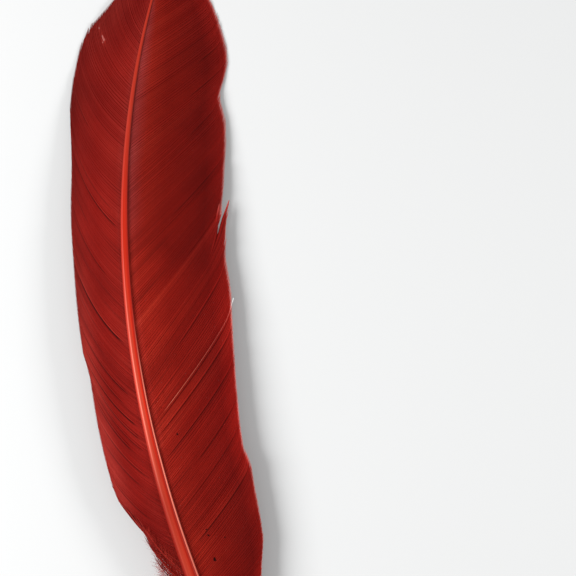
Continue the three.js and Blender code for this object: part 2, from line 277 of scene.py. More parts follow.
def walk_shaft():
    """Stations and plan of the shaft's centre line."""
    stations = np.arange(0, VANE_TIP + WALK_SPARE, WALK_STEP)
    lean = np.radians(along(BEND, stations + WALK_STEP / 2, 1))
    x = np.concatenate([[0], np.cumsum(-np.sin(lean) * WALK_STEP)])[:-1] + QUILL_END[0]
    y = np.concatenate([[0], np.cumsum(np.cos(lean) * WALK_STEP)])[:-1] + QUILL_END[1]
    return stations, x, y


SHAFT_LINE = walk_shaft()


def place(station, side, height):
    """Points in metres from a place along the shaft, a distance to its trailing side and a height."""
    stations, x, y = SHAFT_LINE
    lean = np.radians(along(BEND, station, 1))
    spot_x = np.interp(station, stations, x) + side * np.cos(lean)
    spot_y = np.interp(station, stations, y) + side * np.sin(lean)
    return np.stack([spot_x, spot_y, height + 0 * spot_x], -1) * MM


def smooth_step(value, low, high):
    """0 below low, 1 above high and a smooth rise between them."""
    s = np.clip((value - low) / (high - low), 0, 1)
    return s * s * (3 - 2 * s)


def wander(seed, stations, spacing):
    """Smooth random values between about -1 and 1 along the shaft."""
    knots = np.random.default_rng(seed).uniform(-1, 1, int((VANE_TIP + 20) / spacing) + 4)
    rows = [(i * spacing, knot) for i, knot in enumerate(knots)]
    return along(rows, stations, 1)


def vane_height(side, station, reach):
    """Height of the vane's face, eased level where it lies on the table."""
    fall, over = DROOP[side]
    seat = VANE_SEAT * along(SHAFT_SIZE, np.minimum(station, SHAFT_END), 2)
    root = along(ARCH, station, 1) + seat
    clear = root - fall * (reach / over) ** 2 - LOWEST_VANE
    return LOWEST_VANE + (clear + np.hypot(clear, TABLE_SOFTNESS)) / 2


def opened(side, roots, shares, station, out):
    """Moves the ends of the barbs beside each opening apart."""
    for root, start, width, below, above in OPENINGS[side]:
        free = np.clip((shares - start) / (1 - start), 0, 1) ** OPENING_EASE
        near_below = np.where(roots <= root, np.clip(1 - (root - roots) / width, 0, 1), 0) ** OPENING_FADE
        near_above = np.where(roots > root, np.clip(1 - (roots - root) / width, 0, 1), 0) ** OPENING_FADE
        station = station + free * (near_below * below[0] + near_above * above[0])
        out = out + free * (near_below * below[1] + near_above * above[1])
    return station, out


def swept_on(side, roots, shares, station, out):
    """Lets the barbs' ends sweep on along the margin."""
    sweep_from, sweep_run = MARGIN_SWEEP
    swept = np.clip((shares - sweep_from) / (1 - sweep_from), 0, 1) ** 2
    swept = swept * smooth_step(roots, *SWEEP_RISE) * (1 - smooth_step(roots, *SWEEP_FADE))
    margin = np.array(REACH[side])[:, 1:]
    along_margin = np.interp(station + sweep_run * swept, *margin.T) - np.interp(station, *margin.T)
    station = np.minimum(station + sweep_run * swept, VANE_TIP)
    return station, out + along_margin * (swept > 0)


def barb_lines(side, roots, shares):
    """Stations, reaches and heights of barbs: a row for each barb, a column for each share of its length."""
    roots = np.asarray(roots, float)[:, None]
    shares = np.asarray(shares, float)[None, :]
    bend_run, bend_reach = BARB_BEND[side]
    bow = 2 * shares * (1 - shares)
    run = along(REACH[side], roots, 1) - roots
    reach = along(REACH[side], roots, 2)
    station = roots + run * (bow * bend_run + shares ** 2)
    out = reach * (bow * bend_reach + shares ** 2)
    station, out = opened(side, roots, shares, station, out)
    station, out = swept_on(side, roots, shares, station, out)
    height = vane_height(side, station, out)
    thickness = along(SHAFT_SIZE, np.minimum(roots, SHAFT_END), 2)
    dip = ROOT_DIP * np.minimum(thickness / DIP_THICKNESS, 1)
    height = height - dip * np.exp(-out / ROOT_DIP_OVER)
    (broad_seed, broad), (small_seed, small) = BROAD_SWELL[side], SMALL_SWELL
    swell = wander(broad_seed, roots, broad) + SMALL_SHARE * wander(small_seed, roots, small)
    height = height + SWELL_HEIGHT[side] * swell * smooth_step(shares, *SWELL_FROM)
    for root, start, openness, width in RAISED[side]:
        near = np.where(roots >= root, np.clip(1 - (roots - root) / width, 0, 1), 0)
        height = height + LOCK_STEP * openness * near * smooth_step(shares, start, start + LOCK_EASE)
    return station, out, height


def frayed(side, rng, roots, shares, spot):
    """Loosens the lowest barbs of a vane: their ends wander along, out and up."""
    fray = 1 - smooth_step(roots, VANE_START[side], VANE_START[side] + FRAY_RUN[side])[:, None]
    moved = []
    for values, spread in zip(spot, FRAY_SPREAD):
        moved.append(values + fray * spread * rng.uniform(-1, 1, len(roots))[:, None] * shares ** 2)
    return moved, fray


def barb_roots(side, rng):
    """Where the barbs of a vane leave the shaft, close enough for their ends to meet along the margin too."""
    roots = np.linspace(VANE_START[side], LAST_ROOT, ROOT_SAMPLES)
    ends = place(along(REACH[side], roots, 1), OUTWARD[side] * along(REACH[side], roots, 2), 0) / MM
    gaps = np.linalg.norm(np.diff(ends, axis=0), axis=1)
    barbs_so_far = np.cumsum(np.maximum(np.diff(roots) / BARB_PITCH, gaps / MARGIN_PITCH))
    numbers = np.linspace(0, barbs_so_far[-1], int(barbs_so_far[-1]) + 1)
    roots = np.interp(numbers, np.insert(barbs_so_far, 0, 0), roots)
    roots[1:-1] += rng.uniform(-BARB_STRAY, BARB_STRAY, len(roots) - 2) * np.gradient(roots)[1:-1]
    return roots


def barb_tones(side, rng, roots, shares):
    """How light each barb is along its length, and how dark the painted shadow in the cracks on it is."""
    count = len(roots)
    uneven = 1 - TONE_CALM * smooth_step(roots, *TONE_CALM_OVER)
    tone = sum(strength * wander(seed, roots, spacing) for seed, spacing, strength in TONE_WAVES)
    tone = uneven * (tone + rng.uniform(-TONE_STRAY, TONE_STRAY, count))
    tone = np.repeat(tone[:, None], BARB_POINTS, 1)
    calm = 1 - PARTED_CALM * smooth_step(roots, *PARTED_CALM_OVER)
    parted = np.maximum(rng.uniform(*PARTED, count), 0) * calm
    reach = rng.uniform(*PARTED_REACH, count)[:, None]
    crack = parted[:, None] * (1 - smooth_step(shares, reach * PARTED_EASE, reach))
    least, by_openness, by_square = CRACK_DEPTH
    for root, start, openness, _ in RAISED[side]:
        below = np.searchsorted(roots, root) - 1
        open_run = smooth_step(shares, start, start + CRACK_EASE) * (1 - smooth_step(shares, CRACK_CLOSES, 1))
        depth = open_run * (least + by_openness * openness + by_square * openness ** 2)
        crack[below] = np.maximum(crack[below], depth)
        crack[below - 1] = np.maximum(crack[below - 1], openness * depth)
        # The lock's first barb is lightened as a painted highlight where it rides up into the light.
        tone[below + 1] += openness * smooth_step(shares, start, start + LOCK_LIT_EASE)
    tone = np.minimum(tone, BRIGHTEST)
    if side == LEADING:
        outside, inside = SCUFF_EASE
        for root, start, end in SCUFFS:
            scuffed = np.argmin(np.abs(roots - root))
            bare = smooth_step(shares, start - outside, start + inside)
            bare = bare * (1 - smooth_step(shares, end - inside, end + outside))
            tone[scuffed] += bare * (SCUFF_TONE - tone[scuffed])
    return tone, crack


def blade_lie(side, points):
    """Gap of each barb to its neighbours, and its roll, point by point."""
    tangent = np.gradient(points, axis=1)
    tangent /= np.linalg.norm(tangent, axis=2, keepdims=True)
    across = np.gradient(points, axis=0)
    across -= tangent * np.sum(across * tangent, axis=2, keepdims=True)
    step = np.diff(points, axis=0)
    step -= tangent[1:] * np.sum(step * tangent[1:], axis=2, keepdims=True)
    from_above = np.linalg.norm(step[..., :2], axis=2)
    step = np.minimum(np.linalg.norm(step, axis=2), WIDEST_GAP * from_above)
    gap = np.maximum(np.concatenate([step[:1], step]), np.concatenate([step, step[-1:]]))
    level = np.cross([0.0, 0.0, 1.0], tangent)
    level /= np.linalg.norm(level, axis=2, keepdims=True)
    upward = np.cross(tangent, level)
    across *= np.sign(np.sum(across * level, axis=2, keepdims=True))
    roll = np.arctan2(np.sum(across * upward, axis=2), np.sum(across * level, axis=2))
    return gap, np.clip(roll, -MOST_ROLL, MOST_ROLL) - OUTWARD[side] * LAP_ROLL


def blade_width(roots, shares, gap, fray):
    """Half width of each barb's blade: wider than its gap needs, tapered at its end, thinner where frayed."""
    blunt = smooth_step(roots, *SWEEP_FADE)[:, None]
    tapered = smooth_step(shares, TAPER_FROM + BLUNT_FROM * blunt, 1.0)
    taper = 1 - (END_TAPER - BLUNT_TAPER * blunt) * tapered
    widest = (WIDEST_BARB - FRAY_NARROWER * fray) * MM
    return np.clip(gap, NARROWEST_BARB * MM, widest) * BARB_OVERLAP * taper * (1 - FRAY_THINNER * fray)


def with_loose_barb(roots, shares, points, values):
    """Adds the barb that has sprung loose, over the barb that it belongs beside."""
    loose = np.argmin(np.abs(roots - LOOSE_BARB_ROOT))
    raised = points[loose].copy()
    raised[:, 2] += LOOSE_BARB_LIFT * MM * smooth_step(shares, *LOOSE_BARB_RISE)
    raised[-1] += (raised[-1] - raised[-2]) * LOOSE_BARB_RUN_ON
    points = np.concatenate([points, raised[None]])
    values = {title: np.concatenate([value, value[loose][None]]) for title, value in values.items()}
    values["width"][-1] = LOOSE_BARB_WIDTH * MM * (1 - LOOSE_BARB_TAPER * shares)
    values["tone"][-1] = LOOSE_BARB_TONE + LOOSE_BARB_LIGHTER * smooth_step(shares, *LOOSE_BARB_LIT)
    values["crack"][-1] = 0
    return points, values


def vane_guides(side):
    """Barb lines of one vane, with what the sweep and the finish need at each point."""
    rng = np.random.default_rng(VANE_SEED[side])
    roots = barb_roots(side, rng)
    shares = np.linspace(0, 1, BARB_POINTS) ** BARB_POINT_CROWDING
    (station, out, height), fray = frayed(side, rng, roots, shares, barb_lines(side, roots, shares))
    points = place(station, OUTWARD[side] * out, np.maximum(height, LOWEST_VANE))
    tone, crack = barb_tones(side, rng, roots, shares)
    gap, roll = blade_lie(side, points)
    steps = np.linalg.norm(np.diff(points, axis=1, prepend=points[:, :1]), axis=2)
    values = {
        "width": blade_width(roots, shares, gap, fray),
        "run": np.cumsum(steps, axis=1) / MM,
        "roll": roll,
        "tone": tone,
        "crack": crack,
        "share": np.repeat(shares[None, :], len(roots), 0),
        "station": station,
    }
    if side == TRAILING:
        points, values = with_loose_barb(roots, shares, points, values)
    return points, values


def add_object(name, data):
    thing = bpy.data.objects.new(name, data)
    bpy.context.collection.objects.link(thing)
    return thing


def store_values(mesh, values):
    """Keeps a value for each point of a mesh under each title."""
    for title, value in values.items():
        stored = mesh.attributes.new(title, "FLOAT", "POINT")
        stored.data.foreach_set("value", value.ravel().astype(np.float32))


def line_mesh(name, points, values):
    """A mesh of open lines, one for each row of points, with a value for each point."""
    rows, columns = points.shape[:2]
    first = np.arange(rows * columns).reshape(rows, columns)
    edges = np.stack([first[:, :-1].ravel(), first[:, 1:].ravel()], 1)
    mesh = bpy.data.meshes.new(name)
    mesh.from_pydata(points.reshape(-1, 3).tolist(), edges.tolist(), [])
    store_values(mesh, values)
    return add_object(name, mesh)


def new_tree(name, inputs):
    """A Geometry Nodes tree with a geometry in and out and named inputs."""
    tree = bpy.data.node_groups.new(name, "GeometryNodeTree")
    tree.interface.new_socket("Geometry", in_out="INPUT", socket_type="NodeSocketGeometry")
    for title, kind in inputs:
        tree.interface.new_socket(title, in_out="INPUT", socket_type=kind)
    tree.interface.new_socket("Geometry", in_out="OUTPUT", socket_type="NodeSocketGeometry")
    return tree, tree.nodes.new("NodeGroupInput"), tree.nodes.new("NodeGroupOutput")


def set_inputs(modifier, values):
    """Sets a modifier's inputs by their sockets' identifiers."""
    for item in modifier.node_group.interface.items_tree:
        if item.item_type == "SOCKET" and item.in_out == "INPUT" and item.name in values:
            modifier[item.identifier] = values[item.name]


def named_value(tree, title):
    value = tree.nodes.new("GeometryNodeInputNamedAttribute")
    value.data_type = "FLOAT"
    value.inputs["Name"].default_value = title
    return value.outputs["Attribute"]


def arithmetic(tree, operation, a, b):
    """A math node whose inputs are sockets or numbers."""
    math_node = tree.nodes.new("ShaderNodeMath")
    math_node.operation = operation
    for socket, value in zip(math_node.inputs, (a, b)):
        if isinstance(value, (int, float)):
            socket.default_value = value
        else:
            tree.links.new(value, socket)
    return math_node.outputs[0]


def product(tree, a, b):
    return arithmetic(tree, "MULTIPLY", a, b)


def circle(tree, sides):
    """A profile round a circle of radius 1."""
    ring = tree.nodes.new("GeometryNodeCurvePrimitiveCircle")
    ring.inputs["Resolution"].default_value = sides
    ring.inputs["Radius"].default_value = 1.0
    return ring.outputs["Curve"]


def level_curves(tree, lines):
    """Curves along mesh lines, with their normals turned up."""
    curves = tree.nodes.new("GeometryNodeMeshToCurve")
    tree.links.new(lines, curves.inputs["Mesh"])
    level = tree.nodes.new("GeometryNodeSetCurveNormal")
    level.mode = "Z_UP"
    tree.links.new(curves.outputs["Curve"], level.inputs["Curve"])
    return level.outputs["Curve"]


def barb_section(tree, crest, keel):
    """Section of a barb: a low crest, a lower keel, and how far towards which edge each point lies."""
    position = tree.nodes.new("GeometryNodeInputPosition")
    parts = tree.nodes.new("ShaderNodeSeparateXYZ")
    tree.links.new(position.outputs[0], parts.inputs[0])
    marked = tree.nodes.new("GeometryNodeStoreNamedAttribute")
    marked.data_type = "FLOAT"
    marked.inputs["Name"].default_value = "edge"
    tree.links.new(circle(tree, BARB_SIDES), marked.inputs["Geometry"])
    tree.links.new(parts.outputs["X"], marked.inputs["Value"])
    top = product(tree, arithmetic(tree, "MAXIMUM", parts.outputs["Y"], 0.0), crest)
    under = product(tree, arithmetic(tree, "MINIMUM", parts.outputs["Y"], 0.0), keel)
    shape = tree.nodes.new("ShaderNodeCombineXYZ")
    tree.links.new(parts.outputs["X"], shape.inputs["X"])
    tree.links.new(arithmetic(tree, "ADD", top, under), shape.inputs["Y"])
    moved = tree.nodes.new("GeometryNodeSetPosition")
    tree.links.new(marked.outputs["Geometry"], moved.inputs["Geometry"])
    tree.links.new(shape.outputs[0], moved.inputs["Position"])
    return moved.outputs["Geometry"]


def finish_tree(tree, geometry, material, group_out):
    """Realize Instances, then Set Material, then out."""
    realize = tree.nodes.new("GeometryNodeRealizeInstances")
    tree.links.new(geometry, realize.inputs["Geometry"])
    coat = tree.nodes.new("GeometryNodeSetMaterial")
    tree.links.new(realize.outputs["Geometry"], coat.inputs["Geometry"])
    tree.links.new(material, coat.inputs["Material"])
    tree.links.new(coat.outputs["Geometry"], group_out.inputs["Geometry"])


def sweep(tree, curve, profile, radius):
    """Sweeps a profile along curves, its size set by a radius."""
    swept = tree.nodes.new("GeometryNodeCurveToMesh")
    tree.links.new(curve, swept.inputs["Curve"])
    tree.links.new(profile, swept.inputs["Profile Curve"])
    tree.links.new(radius, swept.inputs["Scale"])
    swept.inputs["Fill Caps"].default_value = True
    smooth = tree.nodes.new("GeometryNodeSetShadeSmooth")
    tree.links.new(swept.outputs["Mesh"], smooth.inputs["Geometry"])
    return smooth.outputs["Geometry"]


def vane_tree():
    """Sweeps one blade along each barb line."""
    tree, group_in, group_out = new_tree("vane barbs", [
        ("Crest", "NodeSocketFloat"), ("Keel", "NodeSocketFloat"), ("Material", "NodeSocketMaterial")])
    rolled = tree.nodes.new("GeometryNodeSetCurveTilt")
    tree.links.new(level_curves(tree, group_in.outputs["Geometry"]), rolled.inputs["Curve"])
    tree.links.new(named_value(tree, "roll"), rolled.inputs["Tilt"])
    section = barb_section(tree, group_in.outputs["Crest"], group_in.outputs["Keel"])
    blades = sweep(tree, rolled.outputs["Curve"], section, named_value(tree, "width"))
    finish_tree(tree, blades, group_in.outputs["Material"], group_out)
    return tree


def bake_piece(guide, tree, values, name):
    """Runs a tree on its guide lines and keeps the result as a plain mesh."""
    modifier = guide.modifiers.new(name, "NODES")
    modifier.node_group = tree
    set_inputs(modifier, values)
    bpy.context.view_layer.update()
    mesh = bpy.data.meshes.new_from_object(guide.evaluated_get(bpy.context.evaluated_depsgraph_get()))
    mesh.name = name
    guide.modifiers.remove(modifier)
    bpy.data.objects.remove(guide, do_unlink=True)
    return add_object(name, mesh)


def new_material(name):
    material = bpy.data.materials.new(name)
    material.use_nodes = True
    return material, material.node_tree, material.node_tree.nodes["Principled BSDF"]


def set_finish(shader, numbers):
    """Sets what is the same all over a surface on the shader's own sockets."""
    for title, number in numbers.items():
        shader.inputs[title].default_value = number


def add_bump(tree, shader, height, strength):
    bump = tree.nodes.new("ShaderNodeBump")
    bump.inputs["Strength"].default_value = strength
    bump.inputs["Distance"].default_value = BUMP_HEIGHT
    tree.links.new(height, bump.inputs["Height"])
    tree.links.new(bump.outputs["Normal"], shader.inputs["Normal"])


def colour_ramp(tree, value, stops):
    """A colour that follows a value from stop to stop."""
    ramp = tree.nodes.new("ShaderNodeValToRGB")
    ramp.color_ramp.elements[0].position, ramp.color_ramp.elements[0].color = stops[0]
    ramp.color_ramp.elements[1].position, ramp.color_ramp.elements[1].color = stops[-1]
    for position, colour in stops[1:-1]:
        ramp.color_ramp.elements.new(position).color = colour
    tree.links.new(value, ramp.inputs["Fac"])
    return ramp.outputs["Color"]


def mixed(tree, kind, share, a, b):
    """Mixes two colours. On a colour mix the inputs 0, 6 and 7 are the share and the two colours."""
    mix = tree.nodes.new("ShaderNodeMix")
    mix.data_type = "RGBA"
    mix.blend_type = kind
    for socket, value in ((mix.inputs[0], share), (mix.inputs[6], a), (mix.inputs[7], b)):
        if isinstance(value, (int, float, tuple)):
            socket.default_value = value
        else:
            tree.links.new(value, socket)
    return mix.outputs[2]


def covered(tree, body, colour, share):
    """Lays a colour over the body."""
    return mixed(tree, "MIX", share, body, colour)


def tinted(tree, body, colour, share=1.0):
    """Multiplies the body by a colour."""
    return mixed(tree, "MULTIPLY", share, body, colour)


def attribute(tree, title):
    reader = tree.nodes.new("ShaderNodeAttribute")
    reader.attribute_name = title
    return reader.outputs["Fac"]


def ramp_value(tree, value, low, high, a=0.0, b=1.0):
    """A number that goes smoothly from a to b as a value goes from low to high."""
    span = tree.nodes.new("ShaderNodeMapRange")
    span.interpolation_type = "SMOOTHSTEP"
    for title, number in (("From Min", low), ("From Max", high), ("To Min", a), ("To Max", b)):
        span.inputs[title].default_value = number
    tree.links.new(value, span.inputs["Value"])
    return span.outputs["Result"]


def noise(tree, vector, scale, detail):
    texture = tree.nodes.new("ShaderNodeTexNoise")
    texture.inputs["Scale"].default_value = scale
    texture.inputs["Detail"].default_value = detail
    tree.links.new(vector, texture.inputs["Vector"])
    return texture.outputs["Fac"]


def stains(tree, vector, spots, ragged):
    """How much each place is stained: round spots of the stated middle and radius, with ragged edges."""
    total = 0.0
    for x, y, radius in spots:
        flat = tree.nodes.new("ShaderNodeVectorMath")
        flat.operation = "MULTIPLY"
        flat.inputs[1].default_value = (1, 1, 0)
        tree.links.new(vector, flat.inputs[0])
        distance = tree.nodes.new("ShaderNodeVectorMath")
        distance.operation = "DISTANCE"
        distance.inputs[1].default_value = (x * MM, y * MM, 0)
        tree.links.new(flat.outputs["Vector"], distance.inputs[0])
        wobbly = product(tree, distance.outputs["Value"], ragged)
        spot = ramp_value(tree, wobbly, radius * MM, radius * MM * 0.6)
        total = arithmetic(tree, "MAXIMUM", total, spot)
    return total


def barb_dye_and_painted_light(tree, side, share, station):
    """Colour of a barb from shaft to margin, with painted light and shade across it, and a mauve painted
    sheen beside the shaft of the trailing vane and along the leading vane's margin.
    """
    if side == TRAILING:
        # Across the trailing vane: lighter beside the shaft as painted sheen, darker in the middle as painted
        # shade, lighter outwards as painted light, and a pale pink painted highlight along the margin.
        dye = colour_ramp(tree, share, [
            (0.0, (0.34, 0.022, 0.015, 1)), (0.1, (0.3, 0.013, 0.0065, 1)),
            (0.32, (0.21, 0.0065, 0.0032, 1)), (0.72, (0.152, 0.004, 0.0025, 1)),
            (0.93, (0.23, 0.0065, 0.0042, 1)), (0.955, (0.27, 0.01, 0.007, 1)),
            (0.98, (0.5, 0.06, 0.05, 1)), (1.0, (0.65, 0.12, 0.1, 1))])
        # Painted light on the outer part of the trailing vane, along its middle stretch.
        lighter_along = product(tree, ramp_value(tree, station, 112, 135, 0.25, 1.0),
                                ramp_value(tree, station, 215, 175))
        lighter = product(tree, ramp_value(tree, share, 0.5, 0.85), lighter_along)
        dye = tinted(tree, dye, (1.22, 1.15, 1.1, 1), lighter)
        # Painted sheen: a mauve band beside the shaft, towards the tip.
        painted_highlight = product(tree, ramp_value(tree, share, 0.17, 0.02), ramp_value(tree, station, 195, 225))
        sheen_colour = (0.27, 0.029, 0.028, 1)
    else:
        # Across the leading vane: lighter and mauve beside the shaft as painted sheen.
        dye = colour_ramp(tree, share, [
            (0.0, (0.3, 0.022, 0.019, 1)), (0.12, (0.26, 0.011, 0.008, 1)),
            (0.4, (0.21, 0.006, 0.004, 1)), (0.7, (0.2, 0.007, 0.005, 1)),
            (0.9, (0.16, 0.006, 0.0045, 1)), (1.0, (0.2, 0.01, 0.008, 1))])
        # Painted sheen: a mauve band along the leading margin.
        sheen_along = arithmetic(tree, "ADD", ramp_value(tree, station, 215, 155),
                                ramp_value(tree, station, 266, 284, 0.0, 0.35))
        painted_highlight = product(tree, ramp_value(tree, share, 0.5, 0.9), sheen_along)
        sheen_colour = (0.35, 0.028, 0.023, 1)
    return covered(tree, dye, sheen_colour, product(tree, painted_highlight, SHEEN_SHARE))


def uneven_dye(tree, side, body, station, coordinates):
    """Makes the dye vary from barb to barb, in patches and along the vane; the tone also carries the painted
    highlights of raised locks and of the loose barb.
    """
    light = arithmetic(tree, "ADD", product(tree, attribute(tree, "tone"), 0.22), 0.5)
    barb_to_barb = colour_ramp(tree, light, [
        (0.0, (0.62, 0.5, 0.5, 1)), (0.5, (1, 1, 1, 1)), (0.85, (1.4, 2.3, 2.3, 1)),
        (1.0, (3.1, 26.0, 34.0, 1))])
    body = tinted(tree, body, barb_to_barb)
    patches = colour_ramp(tree, noise(tree, coordinates, *PATCH_NOISE), [
        (0.3, (0.84, 0.8, 0.8, 1)), (0.7, (1.16, 1.2, 1.2, 1))])
    body = tinted(tree, body, patches)
    length_share = arithmetic(tree, "DIVIDE", station, float(VANE_TIP))
    return tinted(tree, body, colour_ramp(tree, length_share, DYE_ALONG[side]))


def barb_shadows(tree, side, body, share, station, edge, coordinates):
    """Darkens the grooves between barbs and the cracks between locks."""
    groove = ramp_value(tree, arithmetic(tree, "ABSOLUTE", edge, 0.0), 0.35, 0.8)
    patchy = ramp_value(tree, noise(tree, coordinates, *GROOVE_NOISE), 0.35, 0.65, 0.05, 0.34)
    depth = product(tree, patchy, ramp_value(tree, station, 225, 180, 0.2, 1.0))
    depth = product(tree, depth, ramp_value(tree, share, 0.0, 0.3, 0.5, 1.0))
    body = tinted(tree, body, (0.35, 0.25, 0.25, 1), product(tree, groove, depth))
    tip_side = product(tree, edge, float(-OUTWARD[side]))
    crack = attribute(tree, "crack")
    narrow_gap = product(tree, crack, ramp_value(tree, tip_side, -0.6, -0.05))
    gap = arithmetic(tree, "MAXIMUM", narrow_gap, ramp_value(tree, crack, 0.7, 1.3))
    return tinted(tree, body, (0.13, 0.045, 0.045, 1), gap)


def barb_relief(tree, shader, edge, coordinates):
    """Bumps of the barbules, which slant from a barb's crest to its edges, and of a fine roughness."""
    slope = product(tree, arithmetic(tree, "ABSOLUTE", edge, 0.0), 0.3)
    slant = arithmetic(tree, "SUBTRACT", attribute(tree, "run"), slope)
    barbules = arithmetic(tree, "SINE", product(tree, slant, 2 * math.pi / BARBULE_PITCH), 0.0)
    rough = product(tree, noise(tree, coordinates, *ROUGH_NOISE), 2.0)
    add_bump(tree, shader, arithmetic(tree, "ADD", rough, product(tree, barbules, 0.35)), 0.3)


def barb_material(side):
    """Dyed barbs: a red that shifts from barb to barb, dark in the grooves as painted shade, pinker where a
    painted sheen lies.
    """
    material, tree, shader = new_material(f"{side} barbs, dyed red")
    share, station, edge = (attribute(tree, title) for title in ("share", "station", "edge"))
    coordinates = tree.nodes.new("ShaderNodeTexCoord").outputs["Object"]
    body = barb_dye_and_painted_light(tree, side, share, station)
    body = uneven_dye(tree, side, body, station, coordinates)
    body = barb_shadows(tree, side, body, share, station, edge, coordinates)
    if side == TRAILING:
        ragged = ramp_value(tree, noise(tree, coordinates, *RAGGED_NOISE), 0.3, 0.7, 0.7, 1.5)
        body = covered(tree, body, (0.02, 0.001, 0.001, 1), stains(tree, coordinates, DARK_SPECKS, ragged))
    tree.links.new(body, shader.inputs["Base Color"])
    set_finish(shader, {
        "Roughness": 0.5, "Specular IOR Level": 0.05,
        "Sheen Weight": 0.006, "Sheen Roughness": 0.4, "Sheen Tint": (1.0, 0.6, 0.65, 1)})
    barb_relief(tree, shader, edge, coordinates)
    return material


def down_guides(side):
    """Lines of the down's barbs: layer on layer at the foot of the vane, waved, sagging, of mixed length."""
    rng = np.random.default_rng(DOWN_SEED[side])
    first, last = DOWN_ROOTS[side]
    count = DOWN_BARBS[side]
    roots = first + (last - first) * np.linspace(0, 1, count) ** DOWN_CROWDING
    roots = roots + rng.uniform(-DOWN_STRAY, DOWN_STRAY, count)
    shares = np.linspace(0, 1, DOWN_POINTS)
    lowest_barb = REACH[side][0][0]
    station, out, height = barb_lines(side, np.clip(roots, lowest_barb, None), shares)
    root = roots[:, None]
    shorter_from, shorter_to = DOWN_SHORTER_OVER
    shorter = DOWN_SHORTER * smooth_step(root, last - shorter_from, last - shorter_to)
    length = rng.uniform(*DOWN_LENGTHS, count)[:, None] * (1 - shorter)
    layer = rng.uniform(-1, 1, count)[:, None]
    phase, waves, swing = (rng.uniform(low, high, count)[:, None] for low, high in DOWN_WAVES)
    wave = (np.sin(phase + waves * shares) - np.sin(phase)) * swing * shares
    drift = rng.uniform(*DOWN_DRIFT, count)[:, None] * shares
    station = root + (station - root) * length + wave + drift
    out = out * length + WAVE_OUT * wave
    low_end = 1 - smooth_step(root, first, first + LOW_RUN)
    sag = DOWN_SAG * layer - DOWN_HANG + DOWN_HANG * low_end
    height = height + sag * shares ** SAG_BEND + WAVE_UP * wave
    points = place(station, OUTWARD[side] * out, np.maximum(height, LOWEST_DOWN))
    tone = np.repeat(rng.uniform(-1, 1, count)[:, None], DOWN_POINTS, 1)
    width = np.repeat((DOWN_WIDTH * (1 - DOWN_TAPER * shares))[None, :], count, 0) * MM
    return points, {"tone": tone, "width": width}


def random_value(tree, low, high, seed, draw):
    """A random number from low to high at each point. The draw sets it apart from the others of the tree."""
    value = tree.nodes.new("FunctionNodeRandomValue")
    value.data_type = "FLOAT"
    value.inputs["Min"].default_value = low
    value.inputs["Max"].default_value = high
    tree.links.new(arithmetic(tree, "ADD", seed, float(draw)), value.inputs["Seed"])
    return next(out for out in value.outputs if out.enabled)


def barbule_strand(tree, length, radius):
    """One barbule: a thin bent hair that narrows to its end."""
    bend = tree.nodes.new("GeometryNodeCurveQuadraticBezier")
    bend.inputs["Resolution"].default_value = BARBULE_STEPS
    for title, spot in BARBULE_BEND.items():
        bend.inputs[title].default_value = spot
    sized = tree.nodes.new("GeometryNodeTransform")
    scale = tree.nodes.new("ShaderNodeCombineXYZ")
    for axis in "XYZ":
        tree.links.new(length, scale.inputs[axis])
    tree.links.new(bend.outputs["Curve"], sized.inputs["Geometry"])
    tree.links.new(scale.outputs[0], sized.inputs["Scale"])
    share = tree.nodes.new("GeometryNodeSplineParameter").outputs["Factor"]
    narrowing = arithmetic(tree, "SUBTRACT", 1.0, product(tree, share, BARBULE_TAPER))
    thickness = product(tree, narrowing, radius)
    return sweep(tree, sized.outputs["Geometry"], circle(tree, BARBULE_SIDES), thickness)


def barbule_aim(tree, rotation, seed):
    """Turns a barbule to one side of its barb or the other, and leans it away from the barb."""
    side = product(tree, arithmetic(tree, "ROUND", random_value(tree, 0, 1, seed, 1), 0.0), math.pi)
    sideways = random_value(tree, math.pi / 2 - BARBULE_STRAY, math.pi / 2 + BARBULE_STRAY, seed, 2)
    lean = tree.nodes.new("ShaderNodeCombineXYZ")
    tree.links.new(random_value(tree, *BARBULE_LEAN, seed, 3), lean.inputs["X"])
    tree.links.new(arithmetic(tree, "ADD", side, sideways), lean.inputs["Z"])
    turn = tree.nodes.new("FunctionNodeEulerToRotation")
    tree.links.new(lean.outputs[0], turn.inputs[0])
    aimed = tree.nodes.new("FunctionNodeRotateRotation")
    aimed.rotation_space = "LOCAL"
    tree.links.new(rotation, aimed.inputs["Rotation"])
    tree.links.new(turn.outputs[0], aimed.inputs["Rotate By"])
    return aimed.outputs[0]


def down_tree():
    """Sweeps each down barb and sets barbules along both of its sides."""
    tree, group_in, group_out = new_tree("down barbs with barbules", [
        ("Barbule length", "NodeSocketFloat"), ("Barbule spacing", "NodeSocketFloat"),
        ("Barbule radius", "NodeSocketFloat"), ("Seed", "NodeSocketInt"), ("Material", "NodeSocketMaterial")])
    curves = level_curves(tree, group_in.outputs["Geometry"])
    barbs = sweep(tree, curves, circle(tree, DOWN_SIDES), named_value(tree, "width"))
    spots = tree.nodes.new("GeometryNodeCurveToPoints")
    spots.mode = "LENGTH"
    tree.links.new(curves, spots.inputs["Curve"])
    tree.links.new(group_in.outputs["Barbule spacing"], spots.inputs["Length"])
    seed = group_in.outputs["Seed"]
    strand = barbule_strand(tree, group_in.outputs["Barbule length"], group_in.outputs["Barbule radius"])
    strands = tree.nodes.new("GeometryNodeInstanceOnPoints")
    tree.links.new(spots.outputs["Points"], strands.inputs["Points"])
    tree.links.new(strand, strands.inputs["Instance"])
    tree.links.new(barbule_aim(tree, spots.outputs["Rotation"], seed), strands.inputs["Rotation"])
    tree.links.new(random_value(tree, *BARBULE_SIZES, seed, 4), strands.inputs["Scale"])
    joined = tree.nodes.new("GeometryNodeJoinGeometry")
    tree.links.new(barbs, joined.inputs[0])
    tree.links.new(strands.outputs["Instances"], joined.inputs[0])
    finish_tree(tree, joined.outputs[0], group_in.outputs["Material"], group_out)
    return tree


